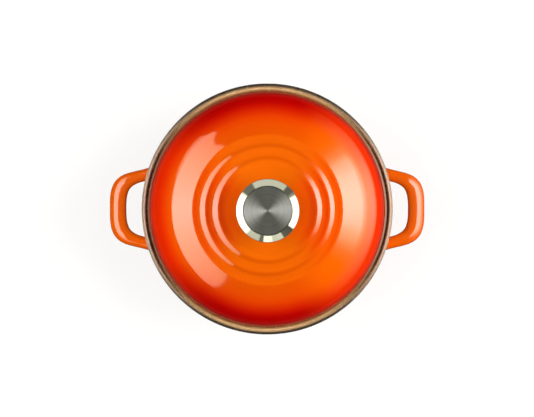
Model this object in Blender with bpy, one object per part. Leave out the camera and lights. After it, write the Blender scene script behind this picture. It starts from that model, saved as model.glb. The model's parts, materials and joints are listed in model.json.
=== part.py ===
"""Cast iron dutch oven, 22 cm, with a lift-off lid and a stainless steel knob.

Row frame: metres, +Z up, origin on the surface the pot stands on, under its centre.
+X runs through the two loop handles.
"""

import math

import bmesh
import bpy
from mathutils import Vector

MM = 0.001

# ---------------------------------------------------------------- driving dimensions, mm
RIM_R = 118.0  # outside of the pot's rim
RIM_TOP = 104.0  # top of the rim's outer bead
SEAT_Z = 101.6  # ledge inside the bead, which carries the lid
MOUTH_R = 106.0  # inside of the pot at the ledge
FOOT_IN_R, FOOT_OUT_R = 77.0, 86.0  # flat foot ring
RECESS = 1.4  # the base is hollowed this much inside the foot ring
HEEL_R = 19.0  # rounding between base and wall, outside
WALL = 3.5
WALL_LEAN = math.radians(3.5)
FLARE_Z = 87.0  # where the wall starts to flare into the rim
FLOOR_T = 4.0  # thickness of the floor over the recess
POT_STEPS = 56

HANDLE_Z = 87.0  # middle of the handles
HANDLE_TIP_X = 149.3  # outside of the grip bar

LID_R = 112.3  # the lip at the foot of the lid's skirt
LID_GAP = 0.3  # lid's ledge face above the pot's
LID_WALL = 3.2
LID_STEPS = 56
SPIGOT_OUT_R, SPIGOT_IN_R, SPIGOT_Z = 104.5, 102.0, 97.9

KNOB_R = 28.5
KNOB_DISC_R = 21.7
KNOB_H = 31.0
KNOB_STEPS = 40
SMALL_STEPS = 24
SCREW_R = 3.0
LID_HOLE_R = 3.4
INSERT_BORE_R = 3.25


# ---------------------------------------------------------------- materials
def material(name, colour, roughness, metallic):
    mat = bpy.data.materials.new(name)
    mat.use_nodes = True
    shader = mat.node_tree.nodes["Principled BSDF"]
    shader.inputs["Base Color"].default_value = (*colour, 1.0)
    shader.inputs["Roughness"].default_value = roughness
    shader.inputs["Metallic"].default_value = metallic
    mat.diffuse_color = (*colour, 1.0)
    return mat


def clear_scene():
    for obj in list(bpy.data.objects):
        bpy.data.objects.remove(obj, do_unlink=True)


# ---------------------------------------------------------------- shape helpers
def arc(cr, cz, radius, start, end, steps):
    """Points on a circle arc, angles in degrees from +r towards +z."""
    points = []
    for i in range(steps + 1):
        a = math.radians(start + (end - start) * i / steps)
        points.append((cr + radius * math.cos(a), cz + radius * math.sin(a)))
    return points


def smooth(t):
    t = max(0.0, min(1.0, t))
    return t * t * (3.0 - 2.0 * t)


def new_object(name, bm, mat, auto=35.0):
    bmesh.ops.remove_doubles(bm, verts=bm.verts, dist=1e-7)
    bmesh.ops.recalc_face_normals(bm, faces=bm.faces)
    mesh = bpy.data.meshes.new(name)
    bm.to_mesh(mesh)
    bm.free()
    mesh.shade_smooth()
    mesh.set_sharp_from_angle(angle=math.radians(auto))
    mesh.materials.append(mat)
    obj = bpy.data.objects.new(name, mesh)
    bpy.context.scene.collection.objects.link(obj)
    return obj


def turned(name, profile, steps, mat, closed=True, auto=35.0):
    """A solid of revolution about Z from (r, z) points in mm. A closed profile is a ring
    section; an open one starts and ends on the axis."""
    bm = bmesh.new()
    verts = [bm.verts.new((r * MM, 0.0, z * MM)) for r, z in profile]
    count = len(verts)
    edges = [bm.edges.new((verts[i], verts[i + 1])) for i in range(count - 1)]
    if closed:
        edges.append(bm.edges.new((verts[-1], verts[0])))
    bmesh.ops.spin(
        bm,
        geom=verts + edges,
        cent=(0, 0, 0),
        axis=(0, 0, 1),
        angle=2.0 * math.pi,
        steps=steps,
        use_merge=True,
        use_duplicate=False,
    )
    return new_object(name, bm, mat, auto)


def boolean(obj, other, operation):
    mod = obj.modifiers.new(operation.lower() + "_" + other.name, "BOOLEAN")
    mod.operation = operation
    mod.solver = "EXACT"
    mod.object = other
    other.hide_render = True
    other.display_type = "WIRE"
    return mod


# ---------------------------------------------------------------- pot body
def wall_out(z):
    """Radius of the pot's outer wall at height z, below the flare."""
    foot = FOOT_OUT_R + HEEL_R * math.cos(WALL_LEAN)
    z0 = HEEL_R - HEEL_R * math.sin(WALL_LEAN)
    return foot + (z - z0) * math.tan(WALL_LEAN)


def pot_profile():
    lean = math.degrees(WALL_LEAN)
    p = [(0.0, RECESS), (FOOT_IN_R - 2.0, RECESS), (FOOT_IN_R, 0.0)]
    p += arc(FOOT_OUT_R, HEEL_R, HEEL_R, -90.0, -lean, 6)
    p += [(wall_out(FLARE_Z), FLARE_Z)]
    # concave flare under the rim
    p += [(110.2, 91.4), (111.5, 94.2), (113.3, 95.9), (115.5, 96.8)]
    # outer bead: a steep flank outside, a narrow crest and an upright shoulder round the lid
    p += [(117.4, 97.5), (RIM_R, 98.6), (117.5, 100.5), (116.7, 102.7), (116.1, 103.6), (115.3, RIM_TOP)]
    p += [(114.7, 103.8), (114.3, 103.1), (114.1, 102.2), (113.7, SEAT_Z)]
    p += [(107.4, SEAT_Z), (MOUTH_R + 0.3, SEAT_Z - 0.6), (MOUTH_R, SEAT_Z - 2.0)]
    # inner wall and floor
    floor_z = RECESS + FLOOR_T
    inner_r = 15.0
    low = floor_z + inner_r
    p += [(wall_out(87.0) - WALL, 87.0)]
    cr = wall_out(low) - WALL - inner_r
    p += arc(cr, low, inner_r, -lean, -90.0, 5)
    p += [(0.0, floor_z)]
    return p


def handle_stations():
    """Half of the handle's centre line at +X, from the wall to the middle of the grip bar:
    (x, y, half width, half height), mm."""
    return [
        (102.6, 36.2, 6.9, 7.2),
        (106.5, 34.9, 6.3, 6.6),
        (111.5, 33.4, 5.8, 6.0),
        (118.0, 31.7, 5.65, 5.6),
        (124.7, 29.9, 5.9, 5.4),
        (129.4, 28.1, 6.45, 5.35),
        (133.3, 26.0, 7.15, 5.3),
        (136.3, 23.5, 7.7, 5.2),
        (138.5, 20.5, 8.0, 5.15),
        (140.0, 16.7, 8.1, 5.1),
        (141.0, 11.6, 8.0, 5.05),
        (141.4, 5.6, 7.9, 5.0),
        (HANDLE_TIP_X - 7.85, 0.0, 7.85, 5.0),
    ]


def loop_handle(name, side, mat, around=16):
    """A closed bar swept along the loop, with rounded-rectangle sections."""
    half = handle_stations()
    path = half + [(x, -y, w, h) for x, y, w, h in reversed(half[:-1])]
    bm = bmesh.new()
    rings = []
    last = len(path) - 1
    for i, (x, y, w, h) in enumerate(path):
        ax, ay = path[max(i - 1, 0)][:2]
        bx, by = path[min(i + 1, last)][:2]
        along = Vector((bx - ax, by - ay, 0.0)).normalized()
        across = Vector((along.y, -along.x, 0.0))
        ring = []
        for k in range(around):
            a = 2.0 * math.pi * k / around
            c, s = math.cos(a), math.sin(a)
            power = 0.84  # 1 is an ellipse, less is squarer
            u = math.copysign(abs(c) ** power, c) * w
            v = math.copysign(abs(s) ** power, s) * h
            point = Vector((x, y, HANDLE_Z + v)) + across * u
            ring.append(bm.verts.new((side * point.x * MM, point.y * MM, point.z * MM)))
        rings.append(ring)
    loops = []
    for ring in rings:
        loops.append([bm.edges.new((ring[k], ring[(k + 1) % around])) for k in range(around)])
    for one, two in zip(loops, loops[1:]):
        bmesh.ops.bridge_loops(bm, edges=one + two)
    bm.faces.new(rings[0])
    bm.faces.new(list(reversed(rings[-1])))
    return new_object(name, bm, mat)


# ---------------------------------------------------------------- lid
# (radius mm, outward lean of the surface in degrees) along the lid's top
LID_LEAN = [
    (0.0, 0.0),
    (17.0, 0.8),
    (33.0, 3.0),
    (40.5, 4.0),
    (42.8, -2.5),
    (44.4, 0.0),
    (46.4, 16.5),
    (49.4, 16.5),
    (51.4, 5.0),
    (54.0, 4.0),
    (55.4, -1.5),
    (56.6, 2.0),
    (58.2, 16.5),
    (61.0, 16.5),
    (63.0, 6.0),
    (65.6, 5.0),
    (67.0, -0.5),
    (68.4, 4.0),
    (70.4, 16.3),
    (79.0, 17.5),
    (87.2, 20.5),
    (89.2, 25.0),
    (95.0, 31.0),
    (100.8, 37.5),
    (103.4, 43.0),
    (106.0, 45.5),
    (107.2, 50.0),
    (108.2, 58.0),
]


def lean_at(r):
    for (r0, a0), (r1, a1) in zip(LID_LEAN, LID_LEAN[1:]):
        if r <= r1:
            return a0 + (a1 - a0) * smooth((r - r0) / (r1 - r0))
    return LID_LEAN[-1][1]


def lid_heights(r_from, z_from, radii):
    """Heights of the lid's top at falling radii, by adding up its slope inwards."""
    heights, r, z, step = [], r_from, z_from, 0.05
    for target in radii:
        while r > target + 1e-9:
            d = min(step, r - target)
            z += d * math.tan(math.radians(lean_at(r - d / 2)))
            r -= d
        heights.append(z)
    return heights


LID_BASE = SEAT_Z + LID_GAP
LID_SHOULDER = (108.2, LID_BASE + 6.4)  # top of the skirt
TOP_RADII = [
    106.4, 104.8, 103.0, 100.4, 95.0, 89.4, 87.4, 79.0, 70.6, 69.0, 67.4, 66.0, 63.2, 61.6,
    59.4, 57.6, 56.2, 54.6, 51.6, 50.0, 47.8, 46.0, 44.4, 42.6, 40.4, 32.0, 20.0,
]
TOP_Z = lid_heights(*LID_SHOULDER, TOP_RADII)
CROWN_Z = TOP_Z[-1] + 0.15  # flat under the knob
UNDER_Z = CROWN_Z - LID_WALL - 0.6  # lid's underside round the screw


def lid_top(r):
    return lid_heights(*LID_SHOULDER, [r])[0]


def lid_profile():
    p = [(111.5, LID_BASE), (LID_R, LID_BASE + 0.5)]
    p += [(112.1, LID_BASE + 1.1), (110.3, LID_BASE + 2.2), (109.9, LID_BASE + 3.2)]
    p += [(109.3, LID_BASE + 4.6), LID_SHOULDER]
    p += list(zip(TOP_RADII, TOP_Z))
    p += [(14.5, CROWN_Z), (LID_HOLE_R, CROWN_Z)]
    # underside: even wall, no rings
    p += [(LID_HOLE_R, UNDER_Z), (14.0, UNDER_Z)]
    for r in (32.0, 48.0, 62.0, 75.0, 86.0, 94.0):
        p.append((r, lid_top(r + 1.4) - LID_WALL - 0.5 * smooth((60.0 - r) / 40.0)))
    p += [(99.6, 109.6), (SPIGOT_IN_R, 104.6), (SPIGOT_IN_R, SPIGOT_Z + 0.8)]
    p += [(SPIGOT_IN_R + 0.8, SPIGOT_Z), (SPIGOT_OUT_R - 0.8, SPIGOT_Z), (SPIGOT_OUT_R, SPIGOT_Z + 0.8)]
    p += [(SPIGOT_OUT_R, LID_BASE - 0.9), (SPIGOT_OUT_R + 0.6, LID_BASE)]
    return p


# ---------------------------------------------------------------- knob
def knob_profiles():
    b = CROWN_Z + 0.3  # the collar stands on the crown
    collar = [
        (6.4, b), (12.6, b), (13.2, b + 0.6), (13.2, b + 1.9), (12.6, b + 2.5), (6.4, b + 2.5),
    ]
    s = b + 2.8
    top = b + KNOB_H
    shell_out = [
        (12.0, s), (12.2, s + 0.6), (10.7, s + 3.4), (10.2, s + 6.4), (10.9, s + 10.0),
        (14.0, s + 13.4), (20.0, s + 16.6), (25.6, s + 19.4), (27.8, s + 21.8),
        (KNOB_R, top - 4.4), (28.4, top - 3.3), (27.8, top - 2.45),
        (KNOB_DISC_R + 0.9, top - 0.2), (KNOB_DISC_R + 0.6, top), (KNOB_DISC_R + 0.3, top - 0.15),
        (KNOB_DISC_R + 0.3, top - 1.9),
    ]
    shell_in = [
        (24.2, top - 2.8), (26.2, s + 24.0), (26.4, s + 22.4), (19.6, s + 18.4),
        (12.6, s + 14.8), (9.2, s + 10.6), (8.6, s + 6.4), (9.6, s),
    ]
    disc = [
        (0.0, top - 1.5), (KNOB_DISC_R - 0.2, top - 1.5), (KNOB_DISC_R, top - 1.3),
        (KNOB_DISC_R, top - 0.35), (KNOB_DISC_R - 0.25, top - 0.12), (0.0, top - 0.05),
    ]
    insert = [
        (0.0, b + 18.8), (INSERT_BORE_R, b + 17.6), (INSERT_BORE_R, b + 0.3), (6.0, b + 0.3),
        (6.0, b + 19.2), (19.6, b + 25.5), (19.6, top - 1.8), (0.0, top - 1.8),
    ]
    return collar, shell_out + shell_in, disc, insert, b


def screw_profiles(b):
    top = UNDER_Z - 0.3
    washer = [(3.3, top), (7.2, top), (7.2, top - 1.2), (3.3, top - 1.2)]
    h = top - 1.5
    tip = b + 16.6
    screw = [
        (0.0, h - 3.4), (3.4, h - 3.25), (5.2, h - 2.4), (6.0, h - 1.1), (6.0, h - 0.25),
        (5.8, h), (SCREW_R, h), (SCREW_R, tip - 0.8), (SCREW_R - 0.7, tip), (0.0, tip),
    ]
    return washer, screw, h


def main():
    clear_scene()
    enamel = material("orange_enamel", (0.86, 0.13, 0.01), 0.12, 0.0)
    lid_enamel = material("lid_enamel", (0.80, 0.09, 0.01), 0.12, 0.0)
    steel = material("satin_steel", (0.62, 0.62, 0.63), 0.28, 1.0)
    disc_steel = material("turned_steel", (0.34, 0.34, 0.35), 0.3, 1.0)
    hardware = material("screw_steel", (0.55, 0.55, 0.56), 0.35, 1.0)

    # vessel and handles are one casting
    pot = turned("pot_body", pot_profile(), POT_STEPS, enamel, closed=False)
    for name, side in (("handle_right_form", 1.0), ("handle_left_form", -1.0)):
        form = loop_handle(name, side, enamel)
        boolean(pot, form, "UNION")

    lid = turned("lid", lid_profile(), LID_STEPS, lid_enamel)

    collar, shell, disc, insert, b = knob_profiles()
    knob_base = turned("knob_collar", collar, KNOB_STEPS, steel)
    knob_shell = turned("knob_shell", shell, KNOB_STEPS, steel)
    knob_disc = turned("knob_disc", disc, KNOB_STEPS, disc_steel, closed=False)
    knob_insert = turned("knob_insert", insert, SMALL_STEPS, hardware, closed=False)

    washer, screw, head_z = screw_profiles(b)
    turned("screw_washer", washer, SMALL_STEPS, hardware)
    screw_obj = turned("knob_screw", screw, SMALL_STEPS, hardware, closed=False)

    # cross recess in the screw's head
    bm = bmesh.new()
    arm, half = 3.2, 0.55
    outline = []
    for turn in range(4):
        for x, y in ((half, -half), (arm, -half), (arm, half)):
            c, s = (1, 0, -1, 0)[turn], (0, 1, 0, -1)[turn]
            outline.append((x * c - y * s, x * s + y * c))
    floor = bm.faces.new(
        [bm.verts.new((x * MM, y * MM, (head_z - 4.6) * MM)) for x, y in outline]
    )
    grown = bmesh.ops.extrude_face_region(bm, geom=[floor])
    for item in grown["geom"]:
        if isinstance(item, bmesh.types.BMVert):
            item.co.z += 3.2 * MM
    cutter = new_object("cross_recess_cutter", bm, hardware)
    boolean(screw_obj, cutter, "DIFFERENCE")

    # the lid's own place is its joint: an empty on the axis carries the lid and the knob
    lid_axis = bpy.data.objects.new("lid_axis", None)
    bpy.context.scene.collection.objects.link(lid_axis)
    for obj in (lid, knob_base, knob_shell, knob_disc, knob_insert, screw_obj, cutter):
        obj.parent = lid_axis
    bpy.data.objects["screw_washer"].parent = lid_axis


main()
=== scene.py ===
"""Looks for the cast iron dutch oven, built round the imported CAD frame."""
import json
import math

import bmesh
import bpy
import numpy as np
from mathutils import Matrix, Vector

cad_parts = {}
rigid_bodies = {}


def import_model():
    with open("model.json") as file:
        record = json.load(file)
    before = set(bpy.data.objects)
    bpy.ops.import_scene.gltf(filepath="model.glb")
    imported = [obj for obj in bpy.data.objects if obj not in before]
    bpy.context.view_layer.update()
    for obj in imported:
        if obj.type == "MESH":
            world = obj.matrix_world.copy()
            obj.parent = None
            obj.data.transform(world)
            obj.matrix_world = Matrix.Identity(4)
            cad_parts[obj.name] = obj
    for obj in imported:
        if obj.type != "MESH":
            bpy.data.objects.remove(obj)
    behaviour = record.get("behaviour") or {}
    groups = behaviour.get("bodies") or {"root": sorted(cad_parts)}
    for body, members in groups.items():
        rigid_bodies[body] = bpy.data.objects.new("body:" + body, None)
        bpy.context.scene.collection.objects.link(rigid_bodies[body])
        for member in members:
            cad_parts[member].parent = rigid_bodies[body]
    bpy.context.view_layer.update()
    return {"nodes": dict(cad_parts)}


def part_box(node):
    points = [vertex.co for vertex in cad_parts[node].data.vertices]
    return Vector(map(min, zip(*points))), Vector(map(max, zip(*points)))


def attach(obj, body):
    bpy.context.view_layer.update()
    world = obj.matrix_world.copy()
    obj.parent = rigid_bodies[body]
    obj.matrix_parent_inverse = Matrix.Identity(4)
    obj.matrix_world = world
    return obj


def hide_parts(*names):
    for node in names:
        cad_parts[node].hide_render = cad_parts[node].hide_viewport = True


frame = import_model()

MM = 0.001

# ---------------------------------------------------------------- frame sizes read from the CAD, mm
pot_lo, pot_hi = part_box("pot_body")
lid_lo, lid_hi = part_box("lid")
shell_lo, shell_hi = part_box("knob_shell")
disc_lo, disc_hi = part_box("knob_disc")
RIM_R = pot_hi.y * 1000
RIM_TOP = pot_hi.z * 1000
TIP_X = pot_hi.x * 1000
LID_R = lid_hi.x * 1000
CROWN_Z = lid_hi.z * 1000
KNOB_TOP = shell_hi.z * 1000
KNOB_R = shell_hi.x * 1000
DISC_R = disc_hi.x * 1000
SEAT_Z = 101.6
LID_BASE = SEAT_Z + 0.3
WALL = 3.5
WALL_LEAN = math.radians(3.5)
FOOT_OUT_R, HEEL_R = 86.0, 19.0
HANDLE_Z = 87.0


# ---------------------------------------------------------------- profile tools
def fillet_line(points, default=0.0, step_deg=7.0, support=0.35, closed=False):
    """A polyline of (r, z[, radius[, slot]]) with each corner rounded by an arc. A slot names
    the material from that corner on. Returns (r, z) points and a slot for each span."""
    pts = [(p[0], p[1]) for p in points]
    rad = [p[2] if len(p) > 2 else default for p in points]
    slot, slots = 0, []
    for p in points:
        if len(p) > 3:
            slot = p[3]
        slots.append(slot)
    n = len(pts)
    out, span = [], []

    def put(q, s):
        if out and math.dist(out[-1], q) < 1e-4:
            return
        out.append(q)
        span.append(s)

    for i in range(n):
        ends = not closed and i in (0, n - 1)
        a, b, c = Vector(pts[i - 1]), Vector(pts[i]), Vector(pts[(i + 1) % n])
        r = rad[i]
        if ends or r <= 0:
            put(tuple(b), slots[i])
            continue
        u, w = (a - b), (c - b)
        lu, lw = u.length, w.length
        u.normalize()
        w.normalize()
        ang = u.angle(w)
        if ang > math.pi - 0.01:
            put(tuple(b), slots[i])
            continue
        t = r / math.tan(ang / 2)
        t_max = 0.49 * min(lu, lw)
        if t > t_max:
            t = t_max
            r = t * math.tan(ang / 2)
        p0, p1 = b + u * t, b + w * t
        centre = b + (u + w).normalized() * (r / math.sin(ang / 2))
        turn = math.pi - ang
        steps = max(2, int(math.ceil(math.degrees(turn) / step_deg)))
        v0, v1 = p0 - centre, p1 - centre
        a0 = math.atan2(v0.y, v0.x)
        da = (math.atan2(v1.y, v1.x) - a0 + math.pi) % (2 * math.pi) - math.pi
        if lu * 0.5 - t > support:
            put(tuple(p0 + u * support), slots[i - 1])
        for k in range(steps + 1):
            aa = a0 + da * k / steps
            put((centre.x + r * math.cos(aa), centre.y + r * math.sin(aa)),
                slots[i - 1] if k < steps / 2 else slots[i])
        if lw * 0.5 - t > support:
            put(tuple(p1 + w * support), slots[i])
    return out, span


def split_long(points, span, longest):
    """Adds points so that no span is longer than longest, mm."""
    out, sp = [], []
    for i in range(len(points)):
        out.append(points[i])
        sp.append(span[i])
        if i + 1 < len(points):
            a, b = points[i], points[i + 1]
            n = int(math.ceil(math.dist(a, b) / longest))
            for k in range(1, n):
                t = k / n
                out.append((a[0] + (b[0] - a[0]) * t, a[1] + (b[1] - a[1]) * t))
                sp.append(span[i])
    return out, sp


def turned(name, points, span, segs, closed, mats, body, replaces=()):
    """A finely turned mesh about Z from a profile in mm."""
    n = len(points)
    ang = np.linspace(0, 2 * np.pi, segs, endpoint=False)
    ca, sa = np.cos(ang), np.sin(ang)
    verts, index = [], []
    count = 0
    for r, z in points:
        if abs(r) < 1e-6:
            verts.append(np.array([[0.0, 0.0, z * MM]]))
            index.append((count, 1))
            count += 1
        else:
            verts.append(np.stack([r * MM * ca, r * MM * sa, np.full(segs, z * MM)], -1))
            index.append((count, segs))
            count += segs
    faces, face_mat = [], []
    last = n if closed else n - 1
    for i in range(last):
        j = (i + 1) % n
        (a, na), (b, nb) = index[i], index[j]
        for k in range(segs):
            k2 = (k + 1) % segs
            if na == 1 and nb == 1:
                continue
            if na == 1:
                faces.append((a, b + k, b + k2))
            elif nb == 1:
                faces.append((a + k, b, a + k2))
            else:
                faces.append((a + k, b + k, b + k2, a + k2))
            face_mat.append(span[i])
    mesh = bpy.data.meshes.new(name)
    mesh.from_pydata(np.concatenate(verts).tolist(), [], faces)
    bm = bmesh.new()
    bm.from_mesh(mesh)
    bmesh.ops.recalc_face_normals(bm, faces=bm.faces)
    bm.to_mesh(mesh)
    bm.free()
    for m in mats:
        mesh.materials.append(m)
    mesh.polygons.foreach_set("material_index", face_mat)
    mesh.shade_smooth()
    mesh.set_sharp_from_angle(angle=math.radians(50))
    obj = bpy.data.objects.new(name, mesh)
    bpy.context.scene.collection.objects.link(obj)
    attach(obj, body)
    if replaces:
        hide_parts(*replaces)
    return obj


# ---------------------------------------------------------------- material tools
class Nodes:
    """Short names for building a node material."""

    def __init__(self, name):
        self.mat = bpy.data.materials.new(name)
        self.mat.use_nodes = True
        self.tree = self.mat.node_tree
        self.bsdf = self.tree.nodes["Principled BSDF"]
        self.coord = self.tree.nodes.new("ShaderNodeTexCoord")
        self.object = self.coord.outputs["Object"]

    def node(self, kind, **values):
        n = self.tree.nodes.new(kind)
        for k, v in values.items():
            if k.startswith("_"):
                setattr(n, k[1:], v)
        return n

    def link(self, a, b):
        self.tree.links.new(a, b)

    def put(self, socket, value):
        if hasattr(value, "is_linked") or isinstance(value, bpy.types.NodeSocket):
            self.link(value, socket)
        else:
            socket.default_value = value

    def math(self, op, a, b=None, c=None, clamp=False):
        n = self.node("ShaderNodeMath", _operation=op, _use_clamp=clamp)
        for s, v in zip(n.inputs, (a, b, c)):
            if v is not None:
                self.put(s, v)
        return n.outputs[0]

    def xyz(self, vector=None):
        n = self.node("ShaderNodeSeparateXYZ")
        self.link(vector or self.object, n.inputs[0])
        return n.outputs

    def radius(self):
        x, y, _ = self.xyz()
        return self.math("SQRT", self.math("ADD", self.math("MULTIPLY", x, x), self.math("MULTIPLY", y, y)))

    def scaled(self, sx, sy, sz, vector=None):
        n = self.node("ShaderNodeMapping")
        n.inputs["Scale"].default_value = (sx, sy, sz)
        self.link(vector or self.object, n.inputs["Vector"])
        return n.outputs[0]

    def noise(self, scale, detail=2.0, rough=0.5, vector=None, distortion=0.0):
        n = self.node("ShaderNodeTexNoise")
        n.inputs["Scale"].default_value = scale
        n.inputs["Detail"].default_value = detail
        n.inputs["Roughness"].default_value = rough
        n.inputs["Distortion"].default_value = distortion
        self.link(vector or self.object, n.inputs["Vector"])
        return n.outputs["Fac"]

    def remap(self, value, a, b, c=0.0, d=1.0, smooth=True):
        n = self.node("ShaderNodeMapRange", _interpolation_type="SMOOTHSTEP" if smooth else "LINEAR")
        n.clamp = True
        self.put(n.inputs[0], value)
        for s, v in zip(list(n.inputs)[1:5], (a, b, c, d)):
            s.default_value = v
        return n.outputs[0]

    def ramp(self, value, stops):
        n = self.node("ShaderNodeValToRGB")
        el = n.color_ramp.elements
        while len(el) < len(stops):
            el.new(0.5)
        for e, (pos, col) in zip(el, stops):
            e.position = pos
            e.color = (*col, 1.0)
        self.put(n.inputs[0], value)
        return n.outputs[0]

    def mix(self, factor, a, b, blend="MIX"):
        n = self.node("ShaderNodeMix", _data_type="RGBA", _blend_type=blend)
        self.put(n.inputs[0], factor)
        self.put(n.inputs[6], a if hasattr(a, "is_linked") else (*a, 1.0))
        self.put(n.inputs[7], b if hasattr(b, "is_linked") else (*b, 1.0))
        return n.outputs[2]

    def bump(self, height, distance, strength=1.0, normal=None):
        n = self.node("ShaderNodeBump")
        n.inputs["Strength"].default_value = strength
        n.inputs["Distance"].default_value = distance
        self.link(height, n.inputs["Height"])
        if normal:
            self.link(normal, n.inputs["Normal"])
        return n.outputs[0]

    def out(self, **sockets):
        for k, v in sockets.items():
            s = self.bsdf.inputs[k.replace("_", " ")]
            if isinstance(v, tuple) and len(v) == 3 and s.type == "RGBA":
                v = (*v, 1.0)
            self.put(s, v)
        return self.mat


def enamel_wave(m, amount=1.0):
    """The slow waviness and faint pits of fired enamel, as one bump chain."""
    slow = m.noise(55.0, 1.0, 0.4)
    fine = m.noise(520.0, 2.0, 0.5)
    b = m.bump(slow, 0.00022 * amount, 1.0)
    return m.bump(fine, 0.000016 * amount, 1.0, b)


# enamel tones, from the hot middle to the edge, linear
ORANGE = (0.86, 0.135, 0.0012)
MID = (0.84, 0.085, 0.0010)
DEEP = (0.78, 0.030, 0.0010)
RED = (0.66, 0.006, 0.0012)


def radius_ramp(m, r, top_mm, stops):
    """A colour ramp over the radius. stops: (mm, red, green), the blue stays near nothing."""
    t = m.remap(r, 0.0, top_mm * MM, smooth=False)
    return m.ramp(t, [(mm / top_mm, (red, green, 0.0008)) for mm, red, green in stops])


def make_lid_enamel():
    m = Nodes("lid_enamel_orange_to_red")
    r = m.radius()
    x, y, _ = m.xyz()
    drift = m.math("MULTIPLY", m.math("SUBTRACT", m.noise(22.0, 2.0), 0.5), 0.0030)
    rr = m.math("ADD", r, drift)
    # the lid's red edge is real; painted shade makes it wider and darker to the front and back and darkens the ring
    # slopes there, and to the sides the hollows of the rings are painted darker: the side lamps' shade, painted in
    front = radius_ramp(m, rr, 112.0, [
        (0.0, 0.75, 0.124), (44.5, 0.75, 0.124), (47.8, 0.66, 0.090), (51.0, 0.73, 0.114), (56.5, 0.73, 0.114),
        (59.3, 0.64, 0.083), (62.4, 0.72, 0.106), (68.0, 0.73, 0.106), (71.0, 0.70, 0.079), (80.2, 0.71, 0.068),
        (86.0, 0.71, 0.049), (90.8, 0.65, 0.0265), (95.7, 0.585, 0.0080), (99.6, 0.50, 0.0018),
        (102.5, 0.48, 0.0008), (106.5, 0.48, 0.0015), (109.0, 0.34, 0.006)])
    side = radius_ramp(m, rr, 112.0, [
        (0.0, 0.82, 0.108), (31.0, 0.88, 0.104), (37.5, 0.88, 0.094), (41.0, 0.80, 0.068), (43.4, 0.76, 0.056),
        (46.0, 0.79, 0.082), (51.5, 0.79, 0.084), (55.3, 0.70, 0.046), (57.4, 0.78, 0.080), (63.2, 0.79, 0.094),
        (66.6, 0.73, 0.060), (69.0, 0.80, 0.088), (86.0, 0.84, 0.100), (90.8, 0.86, 0.088), (95.7, 0.88, 0.049),
        (99.6, 0.88, 0.030), (102.5, 0.87, 0.024), (106.5, 0.88, 0.026), (109.0, 0.50, 0.008)])
    # front and back against sides: a mix by direction round the lid, which paints the side lamps' light and shade into
    # the enamel
    turn = m.math("DIVIDE", m.math("ABSOLUTE", y), m.math("MAXIMUM", r, 0.001))
    k = m.remap(turn, 0.42, 0.92)
    col = m.mix(k, side, front)
    # painted light: on the right side the orange is painted lighter and reaches further out, where the right softbox
    # lights the lid's slope
    painted_right_light = radius_ramp(m, rr, 112.0, [
        (0.0, 0.80, 0.110), (66.0, 0.78, 0.095), (70.0, 0.80, 0.118), (86.0, 0.82, 0.114), (90.8, 0.83, 0.098),
        (95.7, 0.84, 0.070), (99.6, 0.85, 0.050), (102.5, 0.86, 0.036), (106.5, 0.87, 0.026), (109.0, 0.50, 0.008)])
    # the painted light is strongest towards the right, outside the rings
    k = m.math("MULTIPLY", m.remap(m.math("DIVIDE", x, m.math("MAXIMUM", r, 0.001)), 0.26, 0.80),
               m.remap(r, 0.064, 0.074))
    col = m.mix(k, col, painted_right_light)
    cloud = m.remap(m.noise(9.0, 3.0), 0.3, 0.7, 0.96, 1.02)
    speck = m.remap(m.noise(900.0, 1.0), 0.62, 0.74, 1.0, 0.90)
    tone = m.math("MULTIPLY", cloud, speck)
    n = m.node("ShaderNodeVectorMath", _operation="SCALE")
    m.link(col, n.inputs[0])
    m.link(tone, n.inputs["Scale"])
    rough = m.remap(m.noise(30.0, 3.0), 0.3, 0.7, 0.07, 0.11)
    return m.out(Base_Color=n.outputs[0], Roughness=rough, IOR=1.5, Coat_Weight=0.62,
                 Coat_Roughness=0.03, Normal=enamel_wave(m, 0.7))


def make_pot_enamel():
    m = Nodes("pot_enamel_orange")
    z = m.xyz()[2]
    r = m.radius()
    drift = m.math("MULTIPLY", m.math("SUBTRACT", m.noise(20.0, 2.0), 0.5), 0.012)
    zz = m.math("ADD", z, drift)
    t = m.remap(zz, 0.0, 0.104, smooth=False)
    wall = m.ramp(t, [
        (0.0, (0.50, 0.008, 0.001)), (0.14, (0.66, 0.022, 0.001)), (0.38, (0.80, 0.062, 0.001)),
        (0.66, (0.86, 0.105, 0.001)), (0.84, (0.86, 0.115, 0.001)), (0.93, (0.80, 0.05, 0.001)),
        (1.0, (0.55, 0.012, 0.001)),
    ])
    # handles stay orange
    hand = m.remap(r, 0.112, 0.122)
    col = m.mix(hand, wall, (0.88, 0.118, 0.0012))
    cloud = m.remap(m.noise(9.0, 3.0), 0.3, 0.7, 0.93, 1.04)
    speck = m.remap(m.noise(900.0, 1.0), 0.62, 0.74, 1.0, 0.90)
    n = m.node("ShaderNodeVectorMath", _operation="SCALE")
    m.link(col, n.inputs[0])
    m.link(m.math("MULTIPLY", cloud, speck), n.inputs["Scale"])
    rough = m.remap(m.noise(30.0, 3.0), 0.3, 0.7, 0.07, 0.13)
    return m.out(Base_Color=n.outputs[0], Roughness=rough, IOR=1.5, Coat_Weight=0.35,
                 Coat_Roughness=0.03, Normal=enamel_wave(m, 1.2))


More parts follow.
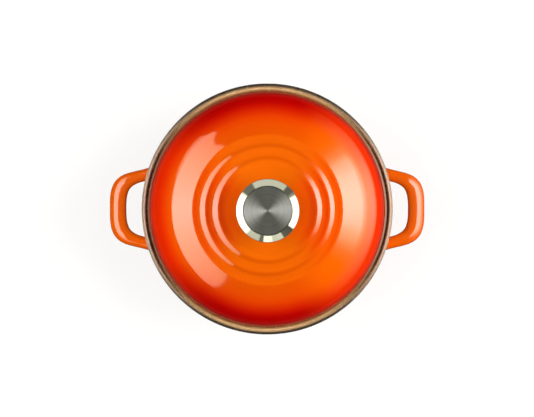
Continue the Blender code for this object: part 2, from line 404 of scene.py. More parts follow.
def make_rim_brown():
    m = Nodes("rim_brown_enamel")
    r = m.radius()
    _, y, _z = m.xyz()
    edge = m.math("ADD", r, m.math("MULTIPLY", m.math("SUBTRACT", m.noise(40.0, 2.0), 0.5), 0.0003))
    t = m.remap(edge, 0.104, 0.119, smooth=False)

    def band(stops):
        return m.ramp(t, [((mm - 104.0) / 15.0, col) for mm, col in stops])

    # brown rim glaze with its light and shade painted in: to the front and back the lid's lip is painted darker, the
    # bead's top pale tan and its outer side near black; to the sides the groove is painted dark and the bead's outer
    # side pale
    front = band([(104.0, (0.44, 0.27, 0.14)), (109.5, (0.30, 0.15, 0.07)), (110.8, (0.19, 0.052, 0.022)),
                  (112.0, (0.42, 0.24, 0.12)), (113.0, (0.66, 0.46, 0.28)), (114.2, (0.70, 0.50, 0.31)),
                  (114.7, (0.34, 0.23, 0.14)), (115.3, (0.070, 0.047, 0.033)), (118.0, (0.046, 0.033, 0.025))])
    side = band([(104.0, (0.44, 0.27, 0.14)), (109.5, (0.30, 0.15, 0.07)), (110.4, (0.30, 0.12, 0.085)),
                 (111.5, (0.28, 0.14, 0.10)), (112.1, (0.11, 0.036, 0.017)), (113.4, (0.13, 0.042, 0.022)),
                 (114.2, (0.26, 0.120, 0.085)), (115.0, (0.40, 0.235, 0.19)), (116.2, (0.54, 0.39, 0.34)),
                 (118.0, (0.66, 0.54, 0.48))])
    # front and back against sides: a mix by direction round the rim, which paints the side lamps' light and shade into
    # the glaze
    turn = m.math("DIVIDE", m.math("ABSOLUTE", y), r)
    col = m.mix(m.remap(turn, 0.30, 0.92), side, front)
    speck = m.remap(m.noise(1400.0, 2.0, 0.6), 0.55, 0.7, 1.0, 0.78)
    n = m.node("ShaderNodeVectorMath", _operation="SCALE")
    m.link(col, n.inputs[0])
    m.link(speck, n.inputs["Scale"])
    rough = m.remap(m.noise(90.0, 3.0), 0.3, 0.7, 0.20, 0.32)
    b = m.bump(m.noise(700.0, 3.0, 0.6), 0.00002)
    return m.out(Base_Color=n.outputs[0], Roughness=rough, IOR=1.5, Coat_Weight=0.2,
                 Coat_Roughness=0.12, Normal=b)


def make_sand():
    m = Nodes("inside_sand_enamel")
    tone = m.remap(m.noise(7.0, 3.0), 0.3, 0.7)
    col = m.mix(tone, (0.70, 0.60, 0.44), (0.77, 0.68, 0.53))
    speck = m.remap(m.noise(700.0, 2.0, 0.55), 0.60, 0.70, 1.0, 0.72)
    n = m.node("ShaderNodeVectorMath", _operation="SCALE")
    m.link(col, n.inputs[0])
    m.link(speck, n.inputs["Scale"])
    rough = m.remap(m.noise(25.0, 3.0), 0.3, 0.7, 0.10, 0.18)
    return m.out(Base_Color=n.outputs[0], Roughness=rough, IOR=1.5, Coat_Weight=0.2,
                 Coat_Roughness=0.05, Normal=enamel_wave(m, 1.0))


def make_foot():
    m = Nodes("foot_dark_enamel")
    r = m.radius()
    ring = m.remap(r, 0.0735, 0.0765)
    tone = m.remap(m.noise(40.0, 4.0), 0.3, 0.7)
    under = m.mix(tone, (0.62, 0.05, 0.002), (0.70, 0.075, 0.002))
    foot = m.mix(tone, (0.12, 0.075, 0.045), (0.19, 0.12, 0.08))
    col = m.mix(ring, under, foot)
    scratch = m.noise(260.0, 3.0, 0.6)
    b = m.bump(scratch, 0.00005)
    return m.out(Base_Color=col, Roughness=m.remap(scratch, 0.3, 0.7, 0.25, 0.5), IOR=1.5, Normal=b)


def make_polished():
    m = Nodes("knob_polished_steel")
    x, y, z = m.xyz()
    grain = m.noise(1.0, 3.0, 0.6, m.scaled(60.0, 60.0, 5200.0))
    tone = m.remap(m.noise(20.0, 3.0), 0.3, 0.7)
    col = m.mix(tone, (0.66, 0.655, 0.645), (0.72, 0.715, 0.705))
    b = m.bump(grain, 0.0000045)
    return m.out(Base_Color=col, Metallic=1.0, Roughness=0.0, Normal=b)


def make_turned():
    m = Nodes("knob_turned_steel")
    r = m.radius()
    comb = m.node("ShaderNodeCombineXYZ")
    m.link(r, comb.inputs[0])
    rings = m.noise(5200.0, 3.0, 0.7, comb.outputs[0])
    wide = m.noise(700.0, 2.0, 0.6, comb.outputs[0])
    tone = m.math("ADD", m.math("MULTIPLY", rings, 0.6), m.math("MULTIPLY", wide, 0.4))
    col = m.ramp(m.remap(tone, 0.3, 0.7), [(0.0, (0.150, 0.153, 0.172)), (1.0, (0.25, 0.254, 0.286))])
    tan = m.node("ShaderNodeTangent", _direction_type="RADIAL", _axis="Z")
    m.link(tan.outputs[0], m.bsdf.inputs["Tangent"])
    b = m.bump(rings, 0.0000035)
    return m.out(Base_Color=col, Metallic=1.0, Roughness=0.34, Anisotropic=0.85, Anisotropic_Rotation=0.25,
                 Normal=b)


def make_hardware():
    m = Nodes("screw_plain_steel")
    grain = m.noise(900.0, 3.0, 0.6)
    tone = m.remap(m.noise(60.0, 3.0), 0.3, 0.7)
    col = m.mix(tone, (0.50, 0.50, 0.51), (0.60, 0.60, 0.61))
    return m.out(Base_Color=col, Metallic=1.0, Roughness=m.remap(grain, 0.3, 0.7, 0.24, 0.38),
                 Normal=m.bump(grain, 0.00001))


def make_lid_under():
    m = Nodes("lid_underside_sand_enamel")
    tone = m.remap(m.noise(7.0, 3.0), 0.3, 0.7)
    col = m.mix(tone, (0.68, 0.58, 0.42), (0.75, 0.66, 0.51))
    speck = m.remap(m.noise(650.0, 2.0, 0.55), 0.60, 0.70, 1.0, 0.72)
    n = m.node("ShaderNodeVectorMath", _operation="SCALE")
    m.link(col, n.inputs[0])
    m.link(speck, n.inputs["Scale"])
    return m.out(Base_Color=n.outputs[0], Roughness=m.remap(m.noise(25.0, 3.0), 0.3, 0.7, 0.10, 0.18),
                 IOR=1.5, Coat_Weight=0.2, Coat_Roughness=0.05, Normal=enamel_wave(m, 1.0))


LID_ENAMEL = make_lid_enamel()
POT_ENAMEL = make_pot_enamel()
RIM_BROWN = make_rim_brown()
SAND = make_sand()
FOOT = make_foot()
POLISHED = make_polished()
TURNED = make_turned()
HARDWARE = make_hardware()
LID_UNDER = make_lid_under()


# ---------------------------------------------------------------- pot
def wall_out(z):
    foot = FOOT_OUT_R + HEEL_R * math.cos(WALL_LEAN)
    z0 = HEEL_R - HEEL_R * math.sin(WALL_LEAN)
    return foot + (z - z0) * math.tan(WALL_LEAN)


def catmull(points, per=6):
    """A smooth line through the points."""
    out = []
    p = [points[0]] + list(points) + [points[-1]]
    for i in range(1, len(p) - 2):
        p0, p1, p2, p3 = (Vector(q[:2]) for q in p[i - 1:i + 3])
        for k in range(per):
            t = k / per
            q = 0.5 * ((2 * p1) + (-p0 + p2) * t + (2 * p0 - 5 * p1 + 4 * p2 - p3) * t * t
                       + (-p0 + 3 * p1 - 3 * p2 + p3) * t ** 3)
            out.append(tuple(q))
    out.append(tuple(points[-1][:2]))
    return out


ENAMEL_S, RIM_S, SAND_S, FOOT_S = 0, 1, 2, 3


def pot_outline():
    lean = WALL_LEAN
    pts, span = [], []

    def add(seq, s):
        for q in seq:
            if pts and math.dist(pts[-1], q) < 1e-3:
                continue
            pts.append(q)
            span.append(s)

    under, sp = fillet_line([(0.0, 1.4), (74.6, 1.4, 1.5), (76.8, 0.0, 1.2), (86.0, 0.0)])
    add(under[:-1], FOOT_S)
    heel = []
    for i in range(25):
        a = -math.pi / 2 + (math.pi / 2 - lean) * i / 24
        heel.append((FOOT_OUT_R + HEEL_R * math.cos(a), HEEL_R + HEEL_R * math.sin(a)))
    add(heel[:4], FOOT_S)
    add(heel[4:], ENAMEL_S)
    add([(wall_out(z), z) for z in range(20, 86, 4)], ENAMEL_S)
    flare = catmull([(wall_out(86.0), 86.0), (109.45, 88.6), (110.2, 91.4), (111.5, 94.2),
                     (113.3, 95.9), (115.5, 96.8), (117.4, 97.5)], 6)
    add(flare, ENAMEL_S)
    bead = catmull([
        (117.4, 97.5), (117.9, 98.0), (RIM_R, 98.7), (117.55, 100.5), (117.15, 101.6), (116.7, 102.7),
        (116.1, 103.6), (115.3, RIM_TOP), (114.7, 103.8), (114.3, 103.1), (114.15, 102.2), (114.05, 101.0),
        (113.75, 100.3), (113.3, 100.1), (112.85, 100.35), (112.6, 101.1), (112.2, SEAT_Z - 0.05), (111.6, SEAT_Z)], 5)
    add(bead[3:], RIM_S)
    span[-1] = RIM_S
    ledge, sp = fillet_line([(111.5, SEAT_Z), (106.0, SEAT_Z, 1.4), (106.0, 97.0)])
    add(ledge, RIM_S)
    low = 5.4 + 15.0
    add([(wall_out(z) - WALL, z) for z in range(92, 22, -4)], SAND_S)
    cr = wall_out(low) - WALL - 15.0
    inner = []
    for i in range(21):
        a = -lean - (math.pi / 2 - lean) * i / 20
        inner.append((cr + 15.0 * math.cos(a), low + 15.0 * math.sin(a)))
    add(inner, SAND_S)
    add([(r, 5.4) for r in (70.0, 50.0, 30.0, 12.0)], SAND_S)
    add([(0.0, 5.4)], SAND_S)
    return pts, span


pts, span = pot_outline()
pot = turned("pot_casting", pts, span, 192, False, [POT_ENAMEL, RIM_BROWN, SAND, FOOT], "pot",
             replaces=("pot_body",))

STATIONS = [
    (106.5, 34.9, 6.3, 6.6), (111.5, 33.4, 5.8, 6.0), (118.0, 31.7, 5.65, 5.6),
    (124.7, 29.9, 5.9, 5.4), (129.4, 28.1, 6.45, 5.35), (133.3, 26.0, 7.15, 5.3),
    (136.3, 23.5, 7.7, 5.2), (138.5, 20.5, 8.0, 5.15), (140.0, 16.7, 8.1, 5.1),
    (141.0, 11.6, 8.0, 5.05), (141.4, 5.6, 7.9, 5.0), (141.45, 0.0, 7.85, 5.0),
]


def handle(name, side, around=40):
    full = STATIONS + [(x, -y, w, h) for x, y, w, h in reversed(STATIONS[:-1])]
    arr = np.array(full, float)
    # smooth, evenly spaced path through the stations
    dist = np.concatenate([[0], np.cumsum(np.linalg.norm(np.diff(arr[:, :2], axis=0), axis=1))])
    n = 120

    def spline(col):
        y = arr[:, col]
        m = np.gradient(y, dist)
        t = np.linspace(0, dist[-1], n)
        k = np.clip(np.searchsorted(dist, t) - 1, 0, len(dist) - 2)
        h = dist[k + 1] - dist[k]
        u = (t - dist[k]) / h
        return ((2 * u**3 - 3 * u**2 + 1) * y[k] + (u**3 - 2 * u**2 + u) * h * m[k]
                + (-2 * u**3 + 3 * u**2) * y[k + 1] + (u**3 - u**2) * h * m[k + 1])

    X, Y, Wd, Ht = (spline(c) for c in range(4))
    T = np.stack([np.gradient(X), np.gradient(Y)], -1)
    T /= np.linalg.norm(T, axis=1, keepdims=True)
    rings = []
    for i in range(n):
        across = np.array([T[i, 1], -T[i, 0]])  # towards the outside of the loop
        if np.dot(across, np.array([X[i] - 100.0, Y[i]])) < 0:
            across = -across
        ring = []
        for k in range(around):
            a = 2 * math.pi * k / around
            c, s = math.cos(a), math.sin(a)
            p = 0.86
            u = math.copysign(abs(c) ** p, c) * Wd[i]
            v = math.copysign(abs(s) ** p, s) * Ht[i]
            px, py = X[i] + across[0] * u, Y[i] + across[1] * u
            drop = 0.10 * max(0.0, px - 134.0)
            ring.append([px, py, HANDLE_Z + v * (1.0 - 0.006 * max(0.0, u)) - drop])
        rings.append(ring)
    rings = np.array(rings)
    # root fillet: near the wall each ring opens out and lands on it
    flare_r = 7.0
    out = []
    for end in (0, 1):
        src = rings if end == 0 else rings[::-1]
        # first ring that is clear of the wall by flare_r
        mid = src.mean(1)
        rad = np.hypot(mid[:, 0], mid[:, 1])
        clear = rad - wall_out(HANDLE_Z)
        start = int(np.argmax(clear > flare_r))
        base = src[start]
        back = src[start] - src[start + 2]
        back = back.mean(0)
        back /= np.linalg.norm(back)
        new = []
        steps = 12
        for j in range(1, steps + 1):
            ang = (math.pi / 2) * j / steps
            run, rise = math.sin(ang), 1 - math.cos(ang)
            ring = []
            for q in base:
                off = q - base.mean(0)
                # distance back along the arm to the wall for this point
                t = 0.0
                for _ in range(12):
                    w = q + back * t
                    wz = w[2]
                    gap = math.hypot(w[0], w[1]) - (wall_out(wz) - 0.25)
                    t += gap
                spread = off / (np.linalg.norm(off) + 1e-9)
                g = q + back * (t * run) + spread * (5.0 * rise)
                # keep it on or outside the wall
                ring.append(g)
            ring = np.array(ring)
            if j == steps:
                rr = np.hypot(ring[:, 0], ring[:, 1])
                target = np.array([wall_out(z) - 0.3 for z in ring[:, 2]])
                ring[:, 0] *= target / rr
                ring[:, 1] *= target / rr
            new.append(ring)
        out.append((start, new))
    (s0, head), (s1, tail) = out
    body = rings[s0: n - s1]
    allr = list(reversed(head)) + list(body) + list(tail)
    V = np.array(allr).reshape(-1, 3) * MM
    V[:, 0] *= side
    faces = []
    R = len(allr)
    for i in range(R - 1):
        for k in range(around):
            k2 = (k + 1) % around
            faces.append((i * around + k, i * around + k2, (i + 1) * around + k2, (i + 1) * around + k))
    faces.append(tuple(range(around)))
    faces.append(tuple((R - 1) * around + k for k in reversed(range(around))))
    mesh = bpy.data.meshes.new(name)
    mesh.from_pydata(V.tolist(), [], faces)
    bm = bmesh.new()
    bm.from_mesh(mesh)
    bmesh.ops.recalc_face_normals(bm, faces=bm.faces)
    bm.to_mesh(mesh)
    bm.free()
    mesh.materials.append(POT_ENAMEL)
    mesh.shade_smooth()
    mesh.set_sharp_from_angle(angle=math.radians(60))
    obj = bpy.data.objects.new(name, mesh)
    bpy.context.scene.collection.objects.link(obj)
    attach(obj, "pot")
    return obj


handle("loop_handle_right", 1.0)
handle("loop_handle_left", -1.0)

# ---------------------------------------------------------------- lid
LID_LEAN = [
    (0.0, 0.0), (17.0, 0.8), (33.0, 3.0), (40.0, 3.6), (42.2, -4.0), (43.9, 0.0), (47.4, 16.7),
    (48.2, 16.7), (51.8, 4.0), (53.4, 2.5), (54.6, -3.5), (55.8, 1.0), (59.0, 16.7), (59.8, 16.7),
    (63.2, 5.0), (65.0, 4.0), (66.8, -2.5), (68.4, 4.0), (70.4, 16.3), (79.0, 17.5), (87.2, 20.5),
    (89.2, 25.0), (95.0, 31.0), (100.8, 37.5), (103.4, 43.0), (106.0, 45.5), (107.2, 50.0), (108.2, 58.0),
]


def lean_at(r):
    for (r0, a0), (r1, a1) in zip(LID_LEAN, LID_LEAN[1:]):
        if r <= r1:
            t = (r - r0) / (r1 - r0)
            return a0 + (a1 - a0) * t * t * (3 - 2 * t)
    return LID_LEAN[-1][1]


SHOULDER = (108.2, LID_BASE + 6.4)


def lid_top(radius):
    """Height of the lid's top at a radius, adding up its slope inwards from the shoulder."""
    r, z = SHOULDER
    while r > radius + 1e-9:
        d = min(0.05, r - radius)
        z += d * math.tan(math.radians(lean_at(r - d / 2)))
        r -= d
    return z + ease(radius)


EASE = 0.0


def ease(radius):
    """The rest of the way up to the crown, taken over the middle of the lid."""
    return EASE * step(radius, 58.0, 15.0)


def step(t, a, b):
    """0 at a, 1 at b, smooth between."""
    k = max(0.0, min(1.0, (t - a) / (b - a)))
    return k * k * (3 - 2 * k)


EASE = CROWN_Z - lid_top(14.6)

LIP_S, TOP_S, UNDER_S = 1, 0, 2


def lid_outline():
    r, z = SHOULDER
    top, step = [(r, z)], 0.05
    k = 0
    while r > 0.01:
        z += step * math.tan(math.radians(lean_at(r - step / 2)))
        r -= step
        k += 1
        gap = 8 if r > 36 else 30
        if k % gap == 0:
            top.append((r, z + ease(r)))
    crown = CROWN_Z
    foot, sp = fillet_line([
        (105.2, LID_BASE), (111.5, LID_BASE, 0.4), (LID_R, LID_BASE + 0.5, 0.4),
        (112.1, LID_BASE + 1.1, 0.5), (110.3, LID_BASE + 2.2, 0.5), (109.9, LID_BASE + 3.2, 0.5),
        (109.3, LID_BASE + 4.6, 1.0), SHOULDER], step_deg=9, support=0.2)
    pts = list(foot[:-1])
    span = []
    for q in pts:
        span.append(LIP_S if q[1] < LID_BASE + 2.2 else TOP_S)
    tops = [q for q in top if q[0] > 14.6]
    pts += tops
    span += [TOP_S] * len(tops)
    pts += [(14.3, crown), (3.4, crown)]
    span += [TOP_S, UNDER_S]
    uz = crown - 3.8
    under = [(14.0, uz)]
    for r in (32.0, 48.0, 62.0, 75.0, 86.0, 94.0):
        k = max(0.0, min(1.0, (60.0 - r) / 40.0))
        under.append((r, lid_top(r + 1.4) - 3.2 - 0.5 * k * k * (3 - 2 * k)))
    under += [(99.4, 110.4), (101.5, 106.2)]
    pts += [(3.4, uz), (6.0, uz)]
    span += [UNDER_S] * 2
    for q in catmull(under, 8):
        pts.append(q)
        span.append(UNDER_S)
    spig, sp = fillet_line([
        (102.0, 104.4), (102.0, 97.9, 0.8), (104.5, 97.9, 0.8), (104.5, LID_BASE - 0.1, 0.5), (105.1, LID_BASE)],
        step_deg=15, support=0.2)
    for q in spig:
        pts.append(q)
        span.append(LIP_S if q[0] > 103.2 else UNDER_S)
    return pts, span


pts, span = lid_outline()
lid = turned("lid_casting", pts, span, 224, True, [LID_ENAMEL, RIM_BROWN, LID_UNDER], "lid",
             replaces=("lid",))


# ---------------------------------------------------------------- knob
B = CROWN_Z + 0.3
S = B + 2.8
T = KNOB_TOP
shell_pts = [
    (9.6, S, 0.2), (12.0, S, 0.4), (12.2, S + 0.9, 0.8), (10.4, S + 4.2, 5.0), (10.4, S + 9.6, 7.0),
    (15.6, S + 14.4, 9.0), (25.6, S + 19.4, 6.0), (KNOB_R, S + 22.6, 3.0), (KNOB_R, T - 2.35, 1.0),
    (DISC_R + 0.75, T, 0.3), (DISC_R + 0.45, T, 0.15), (DISC_R + 0.3, T - 0.3, 0.1), (DISC_R + 0.3, T - 1.9),
    (24.2, T - 2.8, 0.3), (26.0, S + 24.0, 0.5), (26.2, S + 22.4, 1.0), (19.6, S + 18.4, 2.0),
    (12.6, S + 14.8, 2.0), (9.2, S + 10.6, 2.0), (8.6, S + 6.4, 2.0), (9.6, S, 0.0),
]
pts, span = fillet_line(shell_pts, step_deg=6, support=0.3)
pts, span = pts[:-1], span[:-1]
pts, span = split_long(pts, span, 1.2)
turned("knob_mushroom", pts, span, 160, True, [POLISHED], "knob", replaces=("knob_shell",))

disc_pts = [(0.0, T - 0.35), (6.0, T - 0.34), (14.0, T - 0.28), (DISC_R - 1.2, T - 0.16),
            (DISC_R - 0.35, T - 0.14, 0.2), (DISC_R, T - 0.5, 0.2), (DISC_R, T - 1.5, 0.1), (0.0, T - 1.5)]
pts, span = fillet_line(disc_pts, step_deg=10, support=0.2)
pts, span = split_long(pts, span, 1.5)
turned("knob_turned_disc", pts, span, 160, False, [TURNED], "knob", replaces=("knob_disc",))

collar = [(6.4, B, 0.2), (12.6, B, 0.5), (13.2, B + 0.7, 0.6), (13.2, B + 1.8, 0.6), (12.6, B + 2.5, 0.4), (6.4, B + 2.5, 0.2)]
pts, span = fillet_line(collar, step_deg=10, support=0.2, closed=True)
turned("knob_collar_ring", pts, span, 96, True, [POLISHED], "knob", replaces=("knob_collar",))

insert = frame["nodes"]["knob_insert"]
insert.data.materials.clear()
insert.data.materials.append(HARDWARE)

# ---------------------------------------------------------------- screw and washer
w_lo, w_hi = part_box("screw_washer")
wt, wb, wr = w_hi.z * 1000, w_lo.z * 1000, w_hi.x * 1000
pts, span = fillet_line([(3.3, wb, 0.2), (3.3, wt, 0.2), (wr, wt, 0.35), (wr, wb, 0.45)], step_deg=15, support=0.15, closed=True)
turned("washer_plain", pts, span, 80, True, [HARDWARE], "washer", replaces=("screw_washer",))


def threaded_screw():
    lo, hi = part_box("knob_screw")
    head, tip = lo.z * 1000, hi.z * 1000
    top_head = head + 3.4
    segs = 48
    rows = []
    # pan head from its crown up to its bearing face, then the shank with a helical ridge
    head_pts, _ = fillet_line([(0.0, head), (3.4, head + 0.12, 3.0), (5.2, head + 0.9, 2.0), (6.0, head + 2.2, 0.8),
                               (6.0, top_head - 0.1, 0.25), (5.7, top_head, 0.1), (2.85, top_head)], step_deg=10, support=0.15)
    for r, z in head_pts[1:]:
        rows.append([(r, z)] * segs)
    pitch, minor, major = 1.0, 2.42, 2.98
    z = top_head + 0.25
    z_end = tip - 0.9
    rows.append([(2.85, z)] * segs)
    dz = pitch / 8
    nrow = int((z_end - z) / dz)
    for i in range(1, nrow + 1):
        row = []
        zz = z + dz * i
        for k in range(segs):
            ph = (zz / pitch - k / segs) % 1.0
            tri = 1 - abs(2 * ph - 1)
            depth = min(1.0, max(0.0, (tri - 0.12) / 0.76))
            fade = min(1.0, i / 10.0)
            r = major - (major - minor) * (1 - depth) * fade
            row.append((r, zz))
        rows.append(row)
    for r, zz in ((2.5, tip - 0.5), (2.1, tip - 0.05)):
        rows.append([(r, zz)] * segs)
    verts = [(0.0, 0.0, head * MM)]
    for row in rows:
        for k, (r, zz) in enumerate(row):
            a = 2 * math.pi * k / segs
            verts.append((r * MM * math.cos(a), r * MM * math.sin(a), zz * MM))
    verts.append((0.0, 0.0, tip * MM))
    faces = [(0, 1 + (k + 1) % segs, 1 + k) for k in range(segs)]
    for i in range(len(rows) - 1):
        a, b = 1 + i * segs, 1 + (i + 1) * segs
        for k in range(segs):
            k2 = (k + 1) % segs
            faces.append((a + k, a + k2, b + k2, b + k))
    last, end = 1 + (len(rows) - 1) * segs, len(verts) - 1
    faces += [(last + k, last + (k + 1) % segs, end) for k in range(segs)]
    mesh = bpy.data.meshes.new("knob_screw_threaded")
    mesh.from_pydata(verts, [], faces)
    mesh.materials.append(HARDWARE)
    obj = bpy.data.objects.new("knob_screw_threaded", mesh)
    bpy.context.scene.collection.objects.link(obj)
    # cross recess
    bm = bmesh.new()
    arm, half = 3.2, 0.55
    outline = []
    for turn in range(4):
        c, s = (1, 0, -1, 0)[turn], (0, 1, 0, -1)[turn]
        for x, y in ((half, -half), (arm, -half), (arm, half)):
            outline.append((x * c - y * s, x * s + y * c))
    f = bm.faces.new([bm.verts.new((x * MM, y * MM, (head - 1.0) * MM)) for x, y in outline])
    grown = bmesh.ops.extrude_face_region(bm, geom=[f])
    for item in grown["geom"]:
        if isinstance(item, bmesh.types.BMVert):
            item.co.z += 2.9 * MM
            item.co.x *= 0.72
            item.co.y *= 0.72
    bmesh.ops.recalc_face_normals(bm, faces=bm.faces)
    cm = bpy.data.meshes.new("recess_cut")
    bm.to_mesh(cm)
    bm.free()
    cutter = bpy.data.objects.new("recess_cut", cm)
    bpy.context.scene.collection.objects.link(cutter)
    mod = obj.modifiers.new("recess", "BOOLEAN")
    mod.operation, mod.solver, mod.object = "DIFFERENCE", "EXACT", cutter
    dg = bpy.context.evaluated_depsgraph_get()
    done = bpy.data.meshes.new_from_object(obj.evaluated_get(dg))
    obj.modifiers.clear()
    obj.data = done
    bpy.data.objects.remove(cutter)
    done.shade_smooth()
    done.set_sharp_from_angle(angle=math.radians(40))
    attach(obj, "screw")
    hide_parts("knob_screw")
    return obj


threaded_screw()

# ---------------------------------------------------------------- stage
floor_mesh = bpy.data.meshes.new("studio_floor")
half = 6.0
floor_mesh.from_pydata([(-half, -half, 0), (half, -half, 0), (half, half, 0), (-half, half, 0)], [], [(0, 1, 2, 3)])
floor = bpy.data.objects.new("studio_floor", floor_mesh)
floor.location.z = -0.0002
bpy.context.scene.collection.objects.link(floor)
fm = Nodes("studio_white")
seen = fm.node("ShaderNodeLightPath").outputs["Is Camera Ray"]
mirrored = fm.node("ShaderNodeLightPath").outputs["Is Glossy Ray"]
dim = fm.mix(mirrored, (0.15, 0.15, 0.15), (0.05, 0.05, 0.05))
fm.out(Base_Color=fm.mix(seen, dim, (0.27, 0.275, 0.318)), Roughness=0.9,
       Emission_Color=(1.0, 1.0, 1.0), Emission_Strength=fm.math("MULTIPLY", seen, 0.735))
fm.bsdf.inputs["Specular IOR Level"].default_value = 0.0
floor_mesh.materials.append(fm.mat)

world = bpy.data.worlds.new("studio_world")
bpy.context.scene.world = world
world.use_nodes = True
wt_ = world.node_tree
bg = wt_.nodes["Background"]
light_path = wt_.nodes.new("ShaderNodeLightPath")
mixn = wt_.nodes.new("ShaderNodeMix")
mixn.data_type = "RGBA"
mixn.inputs[6].default_value = (0.025, 0.025, 0.025, 1)
mixn.inputs[7].default_value = (1.0, 1.0, 1.0, 1)
wt_.links.new(light_path.outputs["Is Camera Ray"], mixn.inputs[0])
wt_.links.new(mixn.outputs[2], bg.inputs["Color"])
bg.inputs["Strength"].default_value = 1.0

STAGE_MID = Vector((0.0, 0.0, 0.12))


def glow_material(name, sampled=True, tint=(1.0, 1.0, 1.0)):
    """A diffuser cloth: it glows by the strength stored on its points."""
    mat = bpy.data.materials.new(name)
    mat.use_nodes = True
    tree = mat.node_tree
    tree.nodes.clear()
    attr = tree.nodes.new("ShaderNodeAttribute")
    attr.attribute_name = "glow"
    em = tree.nodes.new("ShaderNodeEmission")
    span = tree.nodes.new("ShaderNodeMapRange")
    span.inputs["From Min"].default_value, span.inputs["From Max"].default_value = 2.0, 7.0
    tree.links.new(attr.outputs["Fac"], span.inputs["Value"])
    hue = tree.nodes.new("ShaderNodeMix")
    hue.data_type = "RGBA"
    hue.inputs[6].default_value = (tint[0], tint[1], tint[2] * 0.74, 1.0)
    hue.inputs[7].default_value = (*tint, 1.0)
    tree.links.new(span.outputs[0], hue.inputs[0])
    tree.links.new(hue.outputs[2], em.inputs["Color"])
    out = tree.nodes.new("ShaderNodeOutputMaterial")
    tree.links.new(attr.outputs["Fac"], em.inputs["Strength"])
    if sampled:
        clear = tree.nodes.new("ShaderNodeBsdfTransparent")
        blend = tree.nodes.new("ShaderNodeMixShader")
        path = tree.nodes.new("ShaderNodeLightPath")
        tree.links.new(path.outputs["Is Singular Ray"], blend.inputs[0])
        tree.links.new(em.outputs[0], blend.inputs[1])
        tree.links.new(clear.outputs[0], blend.inputs[2])
        tree.links.new(blend.outputs[0], out.inputs["Surface"])
    else:
        tree.links.new(em.outputs[0], out.inputs["Surface"])
    mat.cycles.emission_sampling = "AUTO" if sampled else "NONE"
    return mat


def curved_softbox(name, rows, dist, glow, cols=44, sampled=True, tint=(1.0, 1.0, 1.0)):
    """A softbox curved round the table. rows: (polar angle from straight up, azimuth from,
    azimuth to) in degrees; glow(polar, azimuth) is its brightness."""
    verts, faces, values = [], [], []
    for theta, a0, a1 in rows:
        for k in range(cols + 1):
            az = a0 + (a1 - a0) * k / cols
            t, a = math.radians(theta), math.radians(az)
            verts.append((dist * math.sin(t) * math.cos(a), dist * math.sin(t) * math.sin(a), dist * math.cos(t)))
            values.append(max(0.0, glow(theta, az)))
    w = cols + 1
    for i in range(len(rows) - 1):
        for k in range(cols):
            faces.append((i * w + k, i * w + k + 1, (i + 1) * w + k + 1, (i + 1) * w + k))
    mesh = bpy.data.meshes.new(name)
    mesh.from_pydata(verts, [], faces)
    attr = mesh.attributes.new("glow", "FLOAT", "POINT")
    attr.data.foreach_set("value", values)
    mesh.materials.append(glow_material(name + "_cloth", sampled, tint))
    obj = bpy.data.objects.new(name, mesh)
    obj.location = STAGE_MID
    bpy.context.scene.collection.objects.link(obj)
    obj.visible_camera = False
    obj.visible_shadow = False
    return obj


def table(x, points):
    """Straight lines through (x, y) points."""
    if x <= points[0][0]:
        return points[0][1]
    for (x0, y0), (x1, y1) in zip(points, points[1:]):
        if x <= x1:
            return y0 + (y1 - y0) * (x - x0) / (x1 - x0)
    return points[-1][1]


def dense(rows, gap=1.0):
    out = []
    for p, q in zip(rows, rows[1:]):
        n = max(1, int(math.ceil((q[0] - p[0]) / gap)))
        for k in range(n):
            out.append(tuple(u + (v - u) * k / n for u, v in zip(p, q)))
    return out + [rows[-1]]


def straight_edge(theta0, mid, thetas):
    """Azimuth limits of a box whose inner edge is a straight bar at polar angle theta0."""
    rows = []
    for th in thetas:
        c = math.tan(math.radians(theta0)) / math.tan(math.radians(th))
        phi = math.degrees(math.acos(min(1.0, c)))
        rows.append((th, mid - phi, mid + phi))
    return rows


LEFT_GAIN, RIGHT_GAIN = 0.92, 0.92
left_rows = straight_edge(20.7, 182.0, (20.7, 21.2, 22.0, 23.5, 25.5, 28.0, 30.5, 33.0, 35.0, 35.6)) + [
    (37.0, 126.5, 240.0), (38.6, 129.5, 240.0), (40.5, 128.0, 240.0), (44.2, 123.5, 239.5), (47.0, 126.0, 237.0),
    (49.0, 128.0, 231.0), (50.0, 129.0, 197.0), (53.6, 131.0, 166.0), (58.0, 132.5, 148.0), (60.0, 134.0, 137.0)]


def left_glow(theta, az):
    g = table(abs(az - 180.0), [(0, 7.0), (10, 6.4), (20, 5.5), (30, 4.7), (40, 3.9), (50, 3.1), (60, 2.4)])
    late = step(az, 175.0, 138.0)
    soft = 1.0 - 0.55 * step(theta, 46.5 + 5.0 * late, 51.5 + 6.0 * late)
    return LEFT_GAIN * g * soft


WARM = (1.0, 0.97, 0.86)
left_box = curved_softbox("softbox_left", dense(left_rows), 2.2, left_glow, tint=WARM)

right_rows = straight_edge(25.0, 7.0, (25.0, 25.6, 26.6, 28.0, 30.0, 32.5, 35.6)) + [
    (36.8, -44.0, 56.0), (42.0, -46.0, 57.0), (52.0, -52.0, 60.0), (62.0, -56.0, 64.0), (85.0, -56.0, 64.0)]


def right_glow(theta, az):
    a = table(az, [(-38, 0.0), (-30, 0.5), (-20, 3.6), (-10, 7.2), (0, 9.0), (10, 9.1), (20, 8.0), (30, 5.0), (36, 1.6), (42, 0.3), (48, 0)])
    b = 3.5 * math.exp(-((az - 5.0) / 29.0) ** 2)
    k = step(theta, 45.0, 66.0)
    return RIGHT_GAIN * (a * (1 - k) + b * k) * (1.0 - step(theta, 77.0, 85.0))


right_box = curved_softbox("softbox_right", dense(right_rows), 2.2, right_glow, tint=WARM)

# what only the polished knob shows: the pale room round the table
knob_room = bpy.data.collections.new("knob_room")
pot_room = bpy.data.collections.new("pot_room")
for o in bpy.data.objects:
    if o.name.startswith(("knob_mushroom", "knob_turned_disc", "knob_collar_ring")):
        knob_room.objects.link(o)
    if o.name.startswith(("pot_casting", "loop_handle")):
        pot_room.objects.link(o)


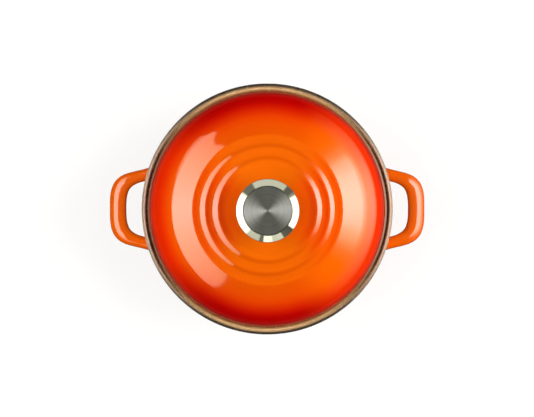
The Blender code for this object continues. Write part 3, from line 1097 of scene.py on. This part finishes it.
def room_glow(theta, az):
    """Round the knob: two white cloths, grey flags between them and a pale far wall."""
    az %= 360.0
    az = az - 360.0 if az > 320.0 else az
    band = table(az, [
        (-38, 0.10), (-34, 2.4), (24, 2.4), (30, 0.45), (37, 0.16), (49, 0.16), (52, 0.78), (118, 0.80), (122, 0.20),
        (143, 0.22), (150, 2.2), (190, 3.2), (226, 2.0), (231, 0.80), (253, 0.74), (256, 0.20), (261, 0.20),
        (264, 1.6), (278, 1.5), (281, 0.85), (299, 0.95), (302, 0.16), (318, 0.12), (320, 0.10)])
    low = 1.0 - 0.55 * step(theta, 50.0, 66.0)
    horizon = 0.42 + 0.14 * math.cos(math.radians(2 * az))
    k = step(theta, 62.0, 78.0)
    return (band * low * (1 - k) + horizon * k) * step(theta, 8.0, 26.0) + 0.14 * (1 - step(theta, 8.0, 26.0))


# each softbox leaves out the handle on the far side
for box, skip in ((left_box, "loop_handle_right"), (right_box, "loop_handle_left")):
    group = bpy.data.collections.new(box.name + "_on")
    for o in bpy.data.objects:
        if o.type == "MESH" and o.name != skip and not o.name.startswith("softbox"):
            group.objects.link(o)
    box.light_linking.receiver_collection = group

room_rows = [(float(th), 0.0, 360.0) for th in list(range(1, 104, 3))]
room = curved_softbox("pale_room", room_rows, 2.9, room_glow, cols=360, sampled=False)
room.light_linking.receiver_collection = knob_room
room.visible_diffuse = False


def softbox(name, centre, target, size_y, size_t, radiance, glossy=True):
    """A rectangular lamp facing target: size_y along Y, size_t across."""
    data = bpy.data.lights.new(name, "AREA")
    data.shape = "RECTANGLE"
    data.size, data.size_y = size_t, size_y
    data.energy = radiance * math.pi * size_y * size_t
    obj = bpy.data.objects.new(name, data)
    c, t = Vector(centre), Vector(target)
    z = (c - t).normalized()
    y = Vector((0, 1, 0)) if abs(z.y) < 0.9 else Vector((1, 0, 0))
    x = y.cross(z).normalized()
    y = z.cross(x)
    obj.matrix_world = Matrix((
        (x.x, y.x, z.x, c.x), (x.y, y.y, z.y, c.y), (x.z, y.z, z.z, c.z), (0, 0, 0, 1)))
    bpy.context.scene.collection.objects.link(obj)
    obj.visible_glossy = glossy
    return obj


def aim(theta, dist, az=180.0, base=0.12):
    t, a = math.radians(theta), math.radians(az)
    return (dist * math.sin(t) * math.cos(a), dist * math.sin(t) * math.sin(a), base + dist * math.cos(t))


# weak, wide fill that opens the shadows without a reflection of its own
softbox("fill_top", (0, 0, 2.6), (0, 0, 0), 2.4, 2.4, 0.38, glossy=False)
for name, az in (("fill_front", -90.0), ("fill_back", 90.0)):
    lamp = softbox(name, aim(78.0, 2.4, az), (0, 0, 0.06), 1.6, 2.4, 0.9, glossy=False)
    lamp.light_linking.receiver_collection = pot_room

handle_room = bpy.data.collections.new("handle_room")
for o in bpy.data.objects:
    if o.name.startswith("loop_handle"):
        handle_room.objects.link(o)
lamp = softbox("fill_handles", (0, 0, 2.5), (0, 0, 0), 1.8, 1.8, 0.85, glossy=False)
lamp.light_linking.receiver_collection = handle_room

# ---------------------------------------------------------------- camera
cam_data = bpy.data.cameras.new("camera")
cam_data.sensor_width = 36.0
cam_data.lens = 36.0 * 1250.0 / 502.5 * 1.0055
cam_data.shift_x, cam_data.shift_y = -0.0006, 0.0016
cam = bpy.data.objects.new("camera", cam_data)
bpy.context.scene.collection.objects.link(cam)
RIM_M = RIM_TOP * MM
cam.location = (-0.007, 0.026, RIM_M + 1.25)
look = Vector((0.0, 0.0, RIM_M)) - Vector(cam.location)
zc = -look.normalized()
yc = zc.cross(Vector((1, 0, 0))).normalized()
xc = yc.cross(zc).normalized()
cam.matrix_world = Matrix((
    (xc.x, yc.x, zc.x, cam.location.x), (xc.y, yc.y, zc.y, cam.location.y),
    (xc.z, yc.z, zc.z, cam.location.z), (0, 0, 0, 1)))
bpy.context.scene.camera = cam
bpy.context.scene.view_settings.view_transform = "Standard"
